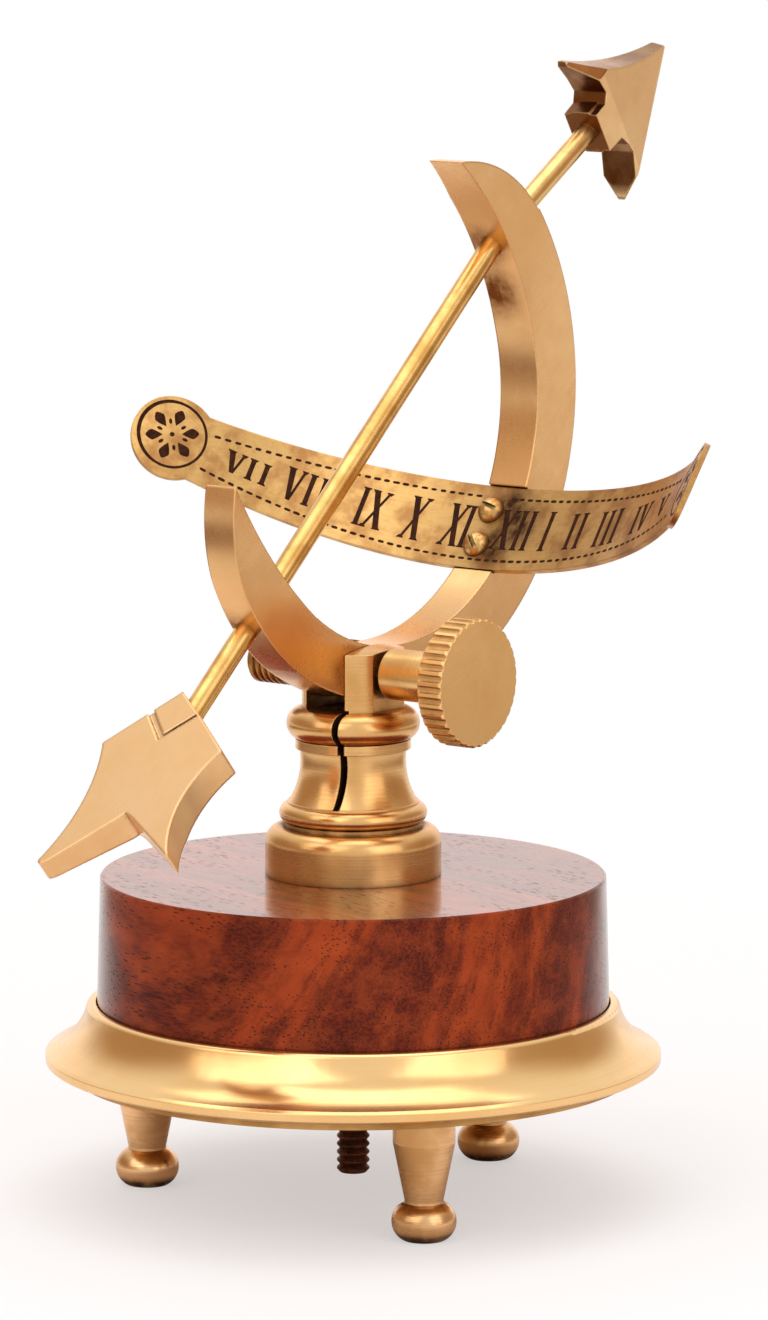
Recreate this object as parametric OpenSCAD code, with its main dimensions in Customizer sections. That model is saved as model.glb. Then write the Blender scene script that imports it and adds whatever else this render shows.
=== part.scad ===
// Table sundial with a crescent ring, an arrow gnomon and a curved hour band.
// Millimetres, +Z up, the floor under the feet at Z = 0.
// The pedestal axis is the Z axis, the ring stands in the XZ plane
// and the arrow climbs towards +X.

/* [Feet] */
// radius of the circle the three feet stand on
foot_circle_r = 51.6; // [48:0.1:54]
// direction of the first foot, seen from above
foot_first_angle = 117; // [100:1:130]
// widest radius of the turned bun at the floor
foot_bun_r = 7.75; // [7:0.05:8.5]
// radius of the round that forms the side of the bun
foot_bun_round = 4.95; // [4.8:0.05:5.2]
// height of the middle of the bun
foot_bun_mid = 4.4; // [4:0.1:4.6]
// radius of the narrow neck above the bun
foot_neck_r = 4.65; // [4:0.05:5.2]
// radius of the cylindrical top of the foot
foot_top_r = 7.45; // [6.8:0.05:8]
// height where the cone of the foot turns into the top cylinder
foot_cone_top = 23.6; // [22:0.1:25]
// height of a whole foot, which is also the height of the base underside
foot_height = 30.8; // [30:0.1:32]
// radius of the threaded stud that holds a foot
foot_stud_r = 2.5; // [2:0.1:3]
// depth of the stud inside the foot
foot_stud_in_foot = 9; // [7:0.5:10]
// depth of the stud inside the wood
foot_stud_in_wood = 12; // [8:0.5:16]

/* [Base] */
// radius of the thin plate under the base
plate_r = 69; // [66:0.5:71]
// thickness of that plate
plate_t = 2.5; // [2:0.1:3]
// outer radius of the brass dish, its widest place
dish_r = 75; // [73.5:0.5:76]
// thickness of the dish floor under the wood
dish_floor_t = 2; // [1.5:0.1:2.5]
// height of the thin flange at the rim of the dish
rim_h = 3; // [2.6:0.1:3.4]
// radius of the hollow flare between the flange and the lip
flare_r = 15; // [13:0.5:18]
// height of the lip of the dish above its underside
dish_height = 14.8; // [14.2:0.1:15.4]
// outer radius of the lip of the dish
dish_lip_r = 65.2; // [64.8:0.1:66]
// radius of the wood where it leaves the dish
wood_bottom_r = 62.4; // [61.8:0.1:62.6]
// radius of the wood at its top edge
wood_top_r = 61.5; // [60.5:0.1:61.7]
// height of the top of the wood
wood_top_z = 79.4; // [78:0.1:82]
// size of the crisp chamfer on the top edge of the wood
wood_edge = 0.5; // [0.3:0.1:1]
// gap between the wood and the lip of the dish
wood_gap = 0.3; // [0.2:0.05:0.4]

/* [Centre stud] */
// outside radius of the threaded stud through the base
stud_r = 4; // [3.8:0.1:4.2]
// height of the free lower end of the stud
stud_end_z = 5.3; // [4:0.1:7]
// distance between two thread crests on the stud
stud_pitch = 2; // [1.5:0.25:2.5]
// depth of the thread
stud_thread_depth = 0.75; // [0.5:0.05:0.9]
// number of crests cut in the free end
stud_crests = 8; // [6:1:8]
// radius of the washer under the plate
washer_r = 8.2; // [7.5:0.1:9]
// thickness of the washer
washer_t = 1.6; // [1.2:0.1:2]
// height of the hexagon nut
nut_h = 6.4; // [5.5:0.1:7]
// width of the hexagon nut over its flats
nut_flats = 13; // [12.5:0.1:14]

/* [Pedestal] */
// radius of the plain round foot of the pedestal
ped_base_r = 21.4; // [20.5:0.1:22.5]
// height of that round foot up to the start of its shoulder
ped_base_h = 8.1; // [7.5:0.1:9]
// radius of the rounded shoulder
ped_shoulder = 4; // [3.5:0.1:4.2]
// outer radius of the bead above the shoulder
ped_bead_r = 17.95; // [17.4:0.05:18.4]
// section radius of the bead
ped_bead_round = 2.45; // [2.2:0.05:2.6]
// smallest radius of the waist
ped_waist_r = 12.8; // [12.2:0.1:13.4]
// section radius of the hollow that makes the waist
ped_waist_hollow = 19; // [17:0.5:22]
// outer radius of the big ring moulding under the jaws
ped_torus_r = 16.2; // [15.6:0.1:16.8]
// section radius of that moulding
ped_torus_round = 4; // [3.8:0.05:4.1]
// radius of the round head that is milled into two jaws
jaw_r = 12.4; // [12.2:0.1:12.8]
// distance from the middle to the outer flat of a jaw
jaw_flat = 10.8; // [10.5:0.1:11]
// clearance between a jaw and the ring
slot_gap = 0.15; // [0.1:0.01:0.2]
// radius of the ball that rounds the top of the jaws
jaw_dome_r = 44; // [38:0.5:50]
// height of the top of the jaws
jaw_top_z = 136.4; // [136:0.1:137]
// width of the saw cut that lets the front jaw bend
saw_width = 1.5; // [1.2:0.1:1.8]
// distance of the saw cut from the middle of the pedestal
saw_offset = 6; // [5.8:0.05:6.3]

/* [Clamp screw] */
// height of the clamp screw, the axis the ring tilts about
pivot_z = 129.5; // [129.3:0.1:129.7]
// outside radius of the clamp screw thread
clamp_r = 4; // [3.7:0.05:4.2]
// clearance around the clamp screw in the jaws and in the ring
clamp_clear = 0.06; // [0.03:0.01:0.09]
// radius of the turned collar next to the knob
collar_r = 6.2; // [5.9:0.1:6.5]
// gap between the jaw and the collar of the clamp screw
collar_gap = 1.6; // [1.5:0.1:2]
// length of the collar
collar_len = 18.6; // [17:0.1:20]
// radius over the ribs of the knob
knob_r = 15.5; // [15:0.1:16.5]
// thickness of the knob
knob_t = 7; // [6:0.5:8]
// radius of the pin on the screw that the knob is fixed on
spigot_r = 3; // [2.6:0.1:3.4]
// length of that pin
spigot_len = 4.5; // [4:0.1:5]
// number of grooves around the knob
knob_grooves = 36; // [30:1:40]
// radius of one groove of the knob
knob_groove_r = 0.95; // [0.8:0.05:1.05]
// radius of the ribbed barrel nut on the back jaw
barrel_r = 5.65; // [5.4:0.05:6]
// length of the barrel nut
barrel_len = 18.4; // [17:0.1:20]
// distance between two ribs of the barrel nut
barrel_pitch = 1.75; // [1.5:0.25:2]
// depth of the grooves of the barrel nut
barrel_depth = 0.6; // [0.4:0.05:0.7]

/* [Ring] */
// thickness of the ring across its flat sides
ring_width = 11.5; // [11.3:0.1:11.8]
// how far the middle of a ring of 72.2 mm lies in front of the pedestal axis
ring_x = 13; // [12.8:0.1:13.2]
// height of the middle of a ring of 72.2 mm
ring_z = 190; // [189.9:0.1:190.2]
// lean of the two horns of the ring from level
ring_lean = 42.5; // [42:0.5:43]
// outside radius of the round back of the ring, the dial grows and shrinks with it
ring_outer_r = 72.2; // [66:0.1:80]
// outside radius of the ring on the side of the lower horn
ring_low_r = 57.8; // [57.6:0.1:58]
// radius of the hollow of the ring
ring_inner_r = 56.1; // [55.9:0.1:56.3]
// radius of the outside curve at the upper horn
horn_up_r = 38.4; // [38.3:0.1:38.6]
// radius of the outside curve at the lower horn
horn_low_r = 40; // [39.8:0.1:40.2]
// height of the flat under the ring, over the floor of the slot
ring_flat_z = 121.5; // [121.4:0.1:121.7]

/* [Arrow] */
// radius of the gnomon rod
rod_r = 2.7; // [2.5:0.05:2.9]
// height at which the rod crosses the pedestal axis
rod_z = 179.8; // [179.5:0.1:180.2]
// slope of the gnomon rod
rod_lean = 41.3; // [41:0.1:41.6]
// distance along the rod from the pedestal axis to its upper end
rod_up = 80.5; // [79.5:0.1:81]
// distance along the rod from the pedestal axis to the point of the tail plate
tail_start = 80; // [79:0.2:81]
// length of rod held inside the tail plate
rod_in_tail = 11; // [9:0.5:12]
// slope of the short stem that carries the arrow head
stem_lean = 32.2; // [32:0.1:32.6]
// distance along the stem where it starts inside the ring
stem_from = 9.3; // [9:0.1:9.6]
// distance along the stem to the socket of the arrow head
head_start = 42.4; // [41.5:0.1:43]
// length of stem held inside the arrow head
stem_in_head = 8; // [6:0.5:9]
// radius of the stem
stem_r = 2.6; // [2.4:0.05:2.8]
// length of the arrow head from its socket to its point
head_len = 38.8; // [38.2:0.2:39.4]
// half of the width over the barbs
head_half = 17.6; // [17:0.1:18.4]
// thickness of the arrow head at the barbs
head_t = 10; // [9:0.2:10.4]
// thickness of the arrow head at its point
head_tip_t = 3.6; // [3:0.1:4.4]
// thickness of the tail plate
tail_t = 8; // [7.6:0.1:8.6]
// sideways turn of the tail plate
tail_yaw = 6.3; // [5:0.1:7]
// distance of the left shoulder of the tail from its middle line
tail_left = 17.9; // [17.4:0.1:18.4]
// distance of the right shoulder of the tail from its middle line
tail_right = 16.9; // [16.4:0.1:17.4]
// half of the width over the tips of the tail
tail_tip = 18.6; // [18:0.1:19]
// length of the tail plate
tail_len = 51; // [50.5:0.1:51.5]

/* [Hour band] */
// distance from the middle line of the hour band to its upper edge
band_up = 12.4; // [12:0.1:12.8]
// the same distance where the band runs into an end disc
band_up_end = 7.5; // [7:0.1:8]
// distance from the middle line of the band to its lower edge
band_low = 11.4; // [11:0.1:11.8]
// the same distance where the band runs into an end disc
band_low_end = 10; // [9.6:0.1:10.4]
// thickness of the hour band
band_t = 1.4; // [1.2:0.1:1.6]
// radius of the curve of the hour band
band_r = 108; // [104:0.5:112]
// place of the band on the ring, measured down from level
band_at = 36.8; // [36.4:0.1:37.2]
// small turn of the band against the hollow of the ring
band_turn = -1.6; // [-2:0.1:-1]
// depth of the flat seat of the band below the hollow of the ring
band_sink = 0.36; // [0.3:0.02:0.5]
// length along the band from its middle to the middle of an end disc
band_reach = 88; // [84:0.5:89]
// radius of the end discs
disc_r = 11; // [10.6:0.1:11.4]
// how far the end discs sit below the middle line of the band
disc_drop = 1.6; // [1.4:0.1:1.8]
// radius of the domed heads of the two band screws
bscrew_head_r = 3.5; // [3:0.05:3.7]
// height of a domed head
bscrew_head_h = 3; // [2.6:0.1:3.2]
// radius of the threads of the band screws
bscrew_r = 1.75; // [1.5:0.05:2]
// length of a band screw under its head
bscrew_len = 10; // [8:0.5:11]
// distance between the two band screws
bscrew_gap = 10; // [9.4:0.1:10.6]
// how far the pair of screws sits below the middle of the band
bscrew_shift = -0.35; // [-0.5:0.05:0.6]
// how far the pair of screws sits to the left of the middle of the ring
bscrew_side = 2; // [0.8:0.1:2.4]
// width of the screwdriver slot in their heads
bscrew_slot = 1.2; // [0.8:0.1:1.4]

/* [Hidden] */
$fn = 96;
brass = [0.80, 0.60, 0.33];
satin = [0.84, 0.66, 0.42];
aged = [0.66, 0.48, 0.24];
wood = [0.52, 0.23, 0.12];
rust = [0.24, 0.12, 0.09];

plate_z = foot_height;
dish_z = plate_z + plate_t;
wood_z = dish_z + dish_floor_t;
lip_z = dish_z + dish_height;
dish_well_r = wood_bottom_r + wood_gap;

ped_z = wood_top_z;
shoulder_z = ped_z + ped_base_h;
bead_z = shoulder_z + ped_shoulder + 0.6 + ped_bead_round;
waist_z = bead_z + ped_bead_round;
waist_mid_z = waist_z + 10.4;
collar_z = waist_z + 13.4;
torus_z = collar_z + 2.1 + ped_torus_round;
slot_z = torus_z + ped_torus_round;
slot_half = ring_width / 2 + slot_gap;
stud_top_z = ped_z + 13;

foot_flat_r = foot_bun_r - foot_bun_round + sqrt(foot_bun_round * foot_bun_round - foot_bun_mid * foot_bun_mid);

// the crescent is drawn at this outside radius and then sized to ring_outer_r about the clamp screw
drawn_r = 72.2;
dial_k = ring_outer_r / drawn_r;
middle_x = ring_x * dial_k;
middle_z = pivot_z + (ring_z - pivot_z) * dial_k;
rod_mid_z = pivot_z + (rod_z - pivot_z) * dial_k;
rod_top = rod_up * dial_k;
tail_at = tail_start * dial_k;
head_at = head_start * dial_k;
stem_foot = stem_from * dial_k;

// middle of the hollow of the ring, in the leaning frame of the ring
hollow_u = -1;
hollow_w = 2.1;
hollow_x = middle_x + dial_k * (hollow_u * cos(ring_lean) - hollow_w * sin(ring_lean));
hollow_z = middle_z + dial_k * (hollow_u * sin(ring_lean) + hollow_w * cos(ring_lean));

// flat seat for the hour band, a little deeper than the hollow
seat_dist = ring_inner_r * dial_k + band_sink;
band_mid = seat_dist - band_t - band_r;
band_deg = 180 * band_reach / (PI * band_r);
band_end_deg = 180 * (band_reach - 5) / (PI * band_r);
band_end_y = band_r * sin(band_end_deg);
band_up_r = (band_end_y * band_end_y + pow(band_up - band_up_end, 2)) / (2 * (band_up - band_up_end));
band_low_r = (band_end_y * band_end_y + pow(band_low - band_low_end, 2)) / (2 * (band_low - band_low_end));

// the hollow flare of the dish: a round that runs through the flange edge and the lip
flare_du = dish_r - 0.9 - dish_lip_r;
flare_dv = dish_height - 1.9 - rim_h;
flare_l = sqrt(flare_du * flare_du + flare_dv * flare_dv);
flare_off = sqrt(flare_r * flare_r - flare_l * flare_l / 4);
flare_u = dish_lip_r + flare_du / 2 + flare_off * flare_dv / flare_l;
flare_v = rim_h + flare_dv / 2 + flare_off * flare_du / flare_l;
knob_y = -jaw_flat - collar_gap - collar_len;

// the bend, where the lines of the rod and of the stem meet inside the ring
bend_x = 57.5 * dial_k;
bend_z = rod_mid_z + bend_x * tan(rod_lean);

// ring frame: first axis from the lower to the upper horn, second away from the back
module ring_frame() {
    translate([middle_x, 0, middle_z]) rotate([0, -ring_lean, 0]) rotate([90, 0, 0]) children();
}

// rod frame: X runs up the rod, the zero is on the pedestal axis
module rod_frame() {
    translate([0, 0, rod_mid_z]) rotate([0, -rod_lean, 0]) children();
}

// stem frame: X runs up the stem, the zero is at the bend
module stem_frame() {
    translate([bend_x, 0, bend_z]) rotate([0, -stem_lean, 0]) children();
}

// band frame: Z points out of the ring through the band, X runs along the width of the band
module band_frame() {
    translate([hollow_x, 0, hollow_z]) rotate([0, 90 + band_at, 0])
        translate([0, 0, seat_dist]) rotate([0, -band_turn, 0]) translate([0, 0, -seat_dist]) children();
}

// a plain rod along X
module rod_x(r, x0, x1) {
    translate([x0, 0, 0]) rotate([0, 90, 0]) cylinder(r = r, h = x1 - x0);
}

// a plain rod along Y at the height of the clamp screw
module rod_y(r, y0, y1) {
    translate([0, y1, pivot_z]) rotate([90, 0, 0]) cylinder(r = r, h = y1 - y0);
}

module at_foot(i) {
    rotate([0, 0, foot_first_angle + 120 * i]) translate([foot_circle_r, 0, 0]) children();
}

// Feet: one turned brass piece each, a bun, a neck, a cone and a plain top
module foot(i) {
    at_foot(i) difference() {
        rotate_extrude() union() {
            intersection() {
                translate([foot_bun_r - foot_bun_round, foot_bun_mid]) circle(r = foot_bun_round);
                square([foot_bun_r + 1, foot_bun_mid + foot_bun_round]);
            }
            square([foot_bun_r - foot_bun_round, foot_bun_mid + foot_bun_round]);
            polygon([[0, 5], [foot_neck_r, 5], [foot_neck_r, foot_bun_mid + foot_bun_round + 0.3],
                [foot_top_r, foot_cone_top], [foot_top_r, foot_height], [0, foot_height]]);
        }
        translate([0, 0, foot_height - foot_stud_in_foot])
            cylinder(r = foot_stud_r, h = foot_stud_in_foot + 1);
    }
}

module foot_left() {
    color(aged) foot(0);
}

module foot_front() {
    color(aged) foot(1);
}

module foot_right() {
    color(aged) foot(2);
}

// Foot studs: threaded pins from the feet through plate and dish into the wood
module foot_studs() {
    color(rust) for (i = [0:2]) at_foot(i)
        translate([0, 0, foot_height - foot_stud_in_foot])
            cylinder(r = foot_stud_r, h = wood_z + foot_stud_in_wood - foot_height + foot_stud_in_foot);
}

// Bottom plate: a thin spun disc that closes the base
module bottom_plate() {
    color(aged) difference() {
        translate([0, 0, plate_z]) cylinder(r = plate_r, h = plate_t, $fn = 180);
        translate([0, 0, plate_z - 1]) cylinder(r = stud_r + 0.3, h = plate_t + 2);
        for (i = [0:2]) at_foot(i)
            translate([0, 0, plate_z - 1]) cylinder(r = foot_stud_r, h = plate_t + 2);
    }
}

// Base dish: rim, hollow flare and rounded lip turned in one brass dish
module base_dish() {
    color(brass) difference() {
        translate([0, 0, dish_z]) rotate_extrude($fn = 180) difference() {
            union() {
                polygon([[0, 0], [dish_r - 0.9, 0], [dish_r, 0.6], [dish_r, rim_h - 0.6],
                    [dish_r - 0.9, rim_h], [dish_lip_r, dish_height - 1.9], [0, dish_height - 1.9]]);
                translate([dish_lip_r - 1.9, dish_height - 1.9]) circle(r = 1.9);
                square([dish_lip_r - 1.9, dish_height]);
            }
            translate([flare_u, flare_v]) circle(r = flare_r);
            translate([0, dish_floor_t]) square([dish_well_r, dish_height]);
        }
        translate([0, 0, dish_z - 1]) cylinder(r = stud_r + 0.3, h = dish_floor_t + 2);
        for (i = [0:2]) at_foot(i)
            translate([0, 0, dish_z - 1]) cylinder(r = foot_stud_r, h = dish_floor_t + 2);
    }
}

// Wood plinth: one turned disc of red brown wood with a crisp top edge
module wood_plinth() {
    color(wood) difference() {
        rotate_extrude($fn = 180) polygon([[stud_r + 0.3, wood_z], [wood_bottom_r, wood_z], [wood_bottom_r, lip_z],
            [wood_top_r, wood_top_z - wood_edge], [wood_top_r - wood_edge, wood_top_z],
            [stud_r + 0.3, wood_top_z]]);
        for (i = [0:2]) at_foot(i)
            translate([0, 0, wood_z - 1]) cylinder(r = foot_stud_r, h = foot_stud_in_wood + 1);
    }
}

// Centre stud: threaded rod from the pedestal down through the whole base
module centre_stud() {
    root_r = stud_r - stud_thread_depth;
    color(rust) union() {
        translate([0, 0, stud_end_z + stud_crests * stud_pitch])
            cylinder(r = stud_r, h = stud_top_z - stud_end_z - stud_crests * stud_pitch);
        translate([0, 0, stud_end_z]) rotate_extrude() union() {
            square([root_r, stud_crests * stud_pitch]);
            for (k = [0:stud_crests - 1]) polygon([[root_r - 0.3, k * stud_pitch],
                [root_r, k * stud_pitch], [stud_r, (k + 0.42) * stud_pitch],
                [stud_r, (k + 0.58) * stud_pitch], [root_r, (k + 1) * stud_pitch],
                [root_r - 0.3, (k + 1) * stud_pitch]]);
        }
    }
}

// Stud washer: plain flat ring under the bottom plate
module stud_washer() {
    color(rust) translate([0, 0, plate_z - washer_t]) difference() {
        cylinder(r = washer_r, h = washer_t);
        translate([0, 0, -1]) cylinder(r = stud_r, h = washer_t + 2);
    }
}

// Stud nut: hexagon nut that pulls the whole base together
module stud_nut() {
    color(rust) translate([0, 0, plate_z - washer_t - nut_h]) difference() {
        intersection() {
            cylinder(r = nut_flats / sqrt(3), h = nut_h, $fn = 6);
            translate([0, 0, nut_h / 2]) sphere(r = nut_flats * 0.62);
        }
        translate([0, 0, -1]) cylinder(r = stud_r, h = nut_h + 2);
    }
}

// Pedestal: one turned and milled brass piece with two jaws at the top
module pedestal() {
    color(brass) difference() {
        union() {
            rotate_extrude() difference() {
                union() {
                    translate([0, ped_z]) square([ped_base_r, ped_base_h]);
                    intersection() {
                        translate([ped_base_r - ped_shoulder, shoulder_z]) circle(r = ped_shoulder);
                        translate([0, shoulder_z - 1]) square([ped_base_r + 1, ped_shoulder + 2]);
                    }
                    translate([0, ped_z]) square([ped_base_r - ped_shoulder, ped_base_h + ped_shoulder]);
                    translate([0, ped_z]) square([ped_bead_r - 1.3, bead_z - ped_z]);
                    translate([ped_bead_r - ped_bead_round, bead_z]) circle(r = ped_bead_round);
                    translate([0, ped_z]) square([ped_bead_r - ped_bead_round, waist_z - ped_z]);
                    translate([0, ped_z]) square([16, collar_z - ped_z]);
                    translate([0, collar_z - 0.1])
                        square([ped_waist_r + 1.2, torus_z - ped_torus_round - collar_z + 0.3]);
                    translate([ped_torus_r - ped_torus_round, torus_z]) circle(r = ped_torus_round);
                    translate([0, torus_z - ped_torus_round])
                        square([ped_torus_r - ped_torus_round, 2 * ped_torus_round]);
                }
                intersection() {
                    translate([ped_waist_r + ped_waist_hollow, waist_mid_z]) circle(r = ped_waist_hollow, $fn = 180);
                    translate([0, waist_z + 0.4]) square([40, collar_z - waist_z - 0.4]);
                }
            }
            intersection() {
                translate([0, 0, slot_z - 1]) cylinder(r = jaw_r, h = jaw_top_z - slot_z + 2);
                translate([0, 0, jaw_top_z - jaw_dome_r]) sphere(r = jaw_dome_r, $fn = 160);
                translate([-jaw_r - 1, -jaw_flat, slot_z - 2])
                    cube([2 * jaw_r + 2, 2 * jaw_flat, jaw_top_z - slot_z + 4]);
            }
        }
        translate([-30, -slot_half, slot_z]) cube([60, 2 * slot_half, 30]);
        translate([-30, -saw_offset - saw_width / 2, waist_z + 0.2])
            cube([60, saw_width, slot_z - waist_z + 0.4]);
        rod_y(clamp_r + clamp_clear, -30, 30);
        translate([0, 0, ped_z - 1]) cylinder(r = stud_r, h = stud_top_z - ped_z + 1);
    }
}

// Barrel nut: ribbed round nut on the back jaw, the clamp screw runs inside it
module barrel_nut() {
    ribs = floor((barrel_len - 2) / barrel_pitch);
    color(aged) translate([0, jaw_flat, pivot_z]) rotate([-90, 0, 0]) rotate_extrude() difference() {
        polygon([[0, 0], [barrel_r, 0], [barrel_r, barrel_len - 1], [barrel_r - 1, barrel_len], [0, barrel_len]]);
        for (k = [1:ribs]) polygon([[barrel_r + 0.1, k * barrel_pitch - 0.62],
            [barrel_r + 0.1, k * barrel_pitch + 0.62], [barrel_r - barrel_depth, k * barrel_pitch + 0.1],
            [barrel_r - barrel_depth, k * barrel_pitch - 0.1]]);
        translate([-1, -1]) square([clamp_r + clamp_clear + 1, barrel_len + 2]);
    }
}

// Clamp screw: turned collar and thread in one piece
module clamp_screw() {
    color(brass) union() {
        rod_y(clamp_r, knob_y + 1, jaw_flat + barrel_len - 1.5);
        rod_y(collar_r, knob_y, knob_y + collar_len);
        rod_y(spigot_r, knob_y - spigot_len, knob_y + 1);
    }
}

// Clamp knob: thick disc with grooves all around, fixed on the end of the screw
module clamp_knob() {
    color(satin) difference() {
        translate([0, knob_y, pivot_z]) rotate([90, 0, 0]) rotate_extrude()
            polygon([[0, 0], [knob_r - 0.5, 0], [knob_r, 0.5], [knob_r, knob_t - 0.5], [knob_r - 0.5, knob_t],
                [0, knob_t]]);
        rod_y(spigot_r + clamp_clear, knob_y - spigot_len - 0.1, knob_y + 1);
        for (k = [0:knob_grooves - 1])
            translate([0, knob_y + 1, pivot_z]) rotate([0, k * 360 / knob_grooves, 0])
                translate([knob_r + 0.25, 0, 0]) rotate([90, 0, 0])
                    cylinder(r = knob_groove_r, h = knob_t + 2, $fn = 24);
    }
}

// hollow of the crescent: a round with two flatter ends
module crescent_hollow() {
    translate([hollow_u, hollow_w]) circle(r = ring_inner_r, $fn = 240);
    intersection() {
        translate([ring_inner_r - 79.4, 14.8]) circle(r = 81.7, $fn = 240);
        translate([0, -22]) square([90, 82]);
    }
    intersection() {
        translate([122 - ring_inner_r, 11.2]) circle(r = 123.6, $fn = 240);
        translate([-90, -10]) square([90, 70]);
    }
}

// outline of the crescent: a round back that is tighter at the lower horn, with a fast curve at each horn
module crescent() {
    low = [-13.8, 1.2];
    turn = 20;
    grow = 20.3;
    difference() {
        intersection() {
            translate([-0.2, 3.2]) circle(r = drawn_r, $fn = 240);
            union() {
                translate(low) rotate([0, 0, turn]) translate([grow, 0])
                    circle(r = ring_low_r + grow - 0.05, $fn = 240);
                rotate([0, 0, -ring_lean]) translate([-1.6, -100]) square([120, 200]);
            }
            union() {
                translate(low) circle(r = ring_low_r, $fn = 240);
                translate(low) rotate([0, 0, turn]) translate([-120, -200]) square([240, 200]);
                translate([0, -100]) square([90, 200]);
            }
            union() {
                translate([-90, -100]) square([90, 103.6]);
                translate([0, -100]) square([90, 98]);
                translate([33, -0.5]) circle(r = horn_up_r, $fn = 200);
                translate([-31.8, 3.6]) circle(r = horn_low_r, $fn = 200);
            }
        }
        crescent_hollow();
    }
}

// Meridian ring: cast crescent with flat sides, a little thinner towards the ends of its horns
module meridian_ring() {
    color(satin) difference() {
        ring_frame() linear_extrude(height = ring_width, center = true) scale(dial_k) crescent();
        translate([-40, -20, ring_flat_z - 10]) cube([80, 40, 10]);
        translate([0, 0, pivot_z - 40]) linear_extrude(height = 130 * dial_k)
            polygon([[-12.6 * dial_k, ring_width / 2], [-22 * dial_k, ring_width / 2 - 1.5],
                [-80 * dial_k, ring_width / 2 - 3.5], [-80 * dial_k, ring_width], [-12.6 * dial_k, ring_width]]);
        ring_frame() translate([40 * dial_k, 15 * dial_k, -ring_width / 2]) rotate([7, 0, 0])
            translate([0, 0, -10]) cube([60, 40 * dial_k, 10]);
        rod_y(clamp_r + clamp_clear, -20, 20);
        rod_frame() rod_x(rod_r, -75 * dial_k, rod_top);
        stem_frame() rod_x(stem_r, stem_foot, 30 * dial_k);
        band_frame() translate([-band_up - 0.2, -20, seat_dist - 8]) cube([band_up + band_low + 0.4, 40, 8]);
        for (s = [-1, 1]) band_frame() translate([bscrew_shift + s * bscrew_gap / 2, bscrew_side, seat_dist - 1])
            cylinder(r = bscrew_r, h = bscrew_len - band_t + 1);
    }
}

// Gnomon rod: straight drawn rod through the lower horn, its top held in the upper horn
module gnomon_rod() {
    color(brass) rod_frame() rod_x(rod_r, -tail_at - rod_in_tail, rod_top);
}

// Head stem: short rod from the outside of the ring to the arrow head
module head_stem() {
    color(brass) stem_frame() rod_x(stem_r, stem_foot, head_at + stem_in_head);
}

// outline of the arrow head in the plane of the ring
module head_outline() {
    difference() {
        polygon([[2, -5.4], [8, -5.6], [9.6, -8.8], [10.2, -11.4], [5.2, -23], [8.6, -head_half],
            [head_len - 1.6, -0.2], [head_len - 0.5, 0.5], [head_len, 1.6], [head_len - 1, 3],
            [6.6, head_half + 0.6], [6, head_half - 0.6], [7.6, 12], [8.4, 7.9], [6.5, 5.6], [2, 5.4]]);
    }
}

// Arrow head: cast plate that thins to its point, with an eight sided socket at the back
module arrow_head() {
    tip = head_tip_t / 2;
    mid = head_t / 2;
    color(satin) stem_frame() translate([head_at, 0, 0]) difference() {
        union() {
            intersection() {
                rotate([90, 0, 0]) linear_extrude(height = head_t, center = true) head_outline();
                translate([0, 0, -30]) linear_extrude(height = 60) polygon([[0, -mid], [10, -mid],
                    [head_len + 1, -tip], [head_len + 1, tip], [10, mid], [0, mid]]);
                rotate([90, 0, 90]) linear_extrude(height = head_len + 2)
                    polygon([[-mid, -head_half], [-0.8, -23.2], [0.8, -23.2], [mid, -head_half], [mid, 30],
                        [mid - 2.6, 30], [mid - 2.6, head_half - 0.2], [-mid, 12.2]]);
            }
            intersection() {
                translate([2, 0, 0]) rotate([0, 90, 0]) rotate([0, 0, 22.5]) cylinder(r = 6.5, h = 8, $fn = 8);
                translate([0, -mid, -10]) cube([12, head_t, 20]);
            }
        }
        translate([57.7, 0, 5]) rotate([12, 0, 0]) translate([0, 0, 75.2])
            rotate([90, 0, 0]) translate([0, 0, -20]) cylinder(r = 81, h = 40, $fn = 240);
        rod_x(stem_r, -1, stem_in_head);
    }
}

// outline of the tail seen square to its plate, cut off askew at the rod
module tail_outline() {
    fork = 35.3;
    difference() {
        polygon([[-2.1, 2.6], [13.9, tail_left - 0.2], [14.8, tail_left + 0.2], [15.6, tail_left],
            [tail_len - 1.4, tail_tip + 0.3], [tail_len - 0.1, tail_tip + 0.1], [tail_len + 0.3, tail_tip - 0.7],
            [tail_len - 0.4, tail_tip - 2.2], [fork + 1.4, 2.4], [fork, 1.3], [fork + 1.2, -1],
            [tail_len - 2.2, -tail_tip + 1], [tail_len - 1.8, -tail_tip], [tail_len - 2.6, -tail_tip - 0.2],
            [17.6, -tail_right], [16.6, -tail_right - 0.1], [15.4, -tail_right + 0.5], [6.3, -6.9]]);
        translate([31, tail_left + 47.1]) circle(r = 50, $fn = 200);
        translate([32, -tail_right - 27.5]) circle(r = 32, $fn = 200);
    }
}

// Arrow tail: cast fork plate lying across the ring, thinner at its tips, with two filed steps near the rod
module arrow_tail() {
    color(satin) rod_frame() translate([-tail_at, 0, 0]) difference() {
        rotate([0, 0, 180 + tail_yaw]) difference() {
            translate([0, 0, -tail_t / 2]) linear_extrude(height = tail_t) mirror([0, 1]) tail_outline();
            translate([36, -30, -tail_t / 2]) rotate([0, -9, 0]) translate([0, 0, -10]) cube([30, 60, 10]);
            translate([4.2, -9.9, tail_t / 2 - 0.7]) rotate([0, 0, 40]) cube([10.8, 1.6, 2]);
            translate([12.9, -2.6, tail_t / 2 - 0.6]) rotate([0, 0, 135]) cube([10.6, 0.8, 2]);
        }
        rod_x(rod_r, -rod_in_tail, 8);
    }
}

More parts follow.
